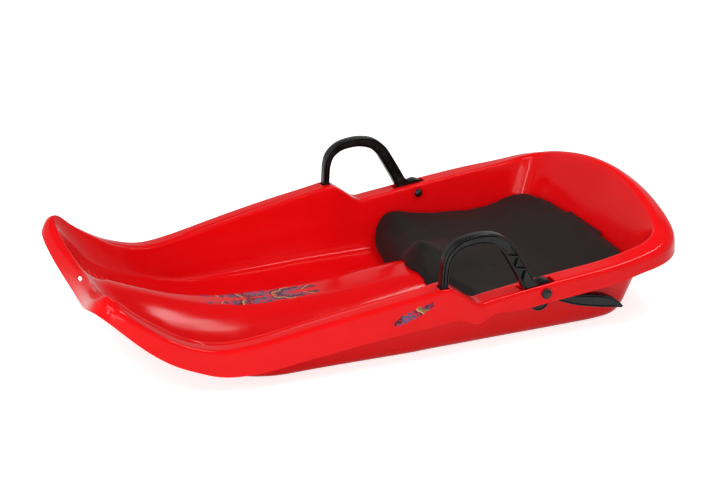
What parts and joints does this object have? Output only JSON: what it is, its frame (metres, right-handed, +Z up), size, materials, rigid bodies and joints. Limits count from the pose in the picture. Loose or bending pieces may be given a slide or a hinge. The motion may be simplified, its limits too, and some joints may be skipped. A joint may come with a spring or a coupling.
{
  "type": "plastic bobsled",
  "caption": "Moulded plastic family bobsled with a flanged tub, a raised middle ridge, a padded seat and hinged loop brake levers.",
  "frame": {"origin": "on the ground, under the middle of the sled's overall box", "axes": "+X towards the nose, +Y towards the rider's left, +Z up"},
  "size_m": [0.7989, 0.4304, 0.1659],
  "materials": {
    "shell_red": "glossy moulded plastic",
    "lever_black": "satin moulded plastic",
    "pad_black": "matte padded cover",
    "bolt_black": "semi-gloss",
    "washer_grey": "plain",
    "stud_black": "matte"
  },
  "bodies": {
    "sled": {"shell": "shell_red", "seat_pad": "pad_black", "seat_stud_1": "stud_black", "seat_stud_2": "stud_black", "pivot_bolt_left": "bolt_black", "pivot_bolt_right": "bolt_black", "cap_nut_left": "bolt_black", "cap_nut_right": "bolt_black", "washer_inner_left": "washer_grey", "washer_inner_right": "washer_grey", "washer_outer_left": "washer_grey", "washer_outer_right": "washer_grey"},
    "brake_left": {"brake_lever_left": "lever_black"},
    "brake_right": {"brake_lever_right": "lever_black"}
  },
  "joints": [
    {"name": "brake_left_turn", "type": "hinge", "parent": "sled", "child": "brake_left", "pos_m": [-0.1613, 0.1975, 0.0741], "axis": [0, -1, 0], "range_deg": [0, 32]},
    {"name": "brake_right_turn", "type": "hinge", "parent": "sled", "child": "brake_right", "pos_m": [-0.1613, -0.1975, 0.0741], "axis": [0, -1, 0], "range_deg": [0, 32]}
  ]
}
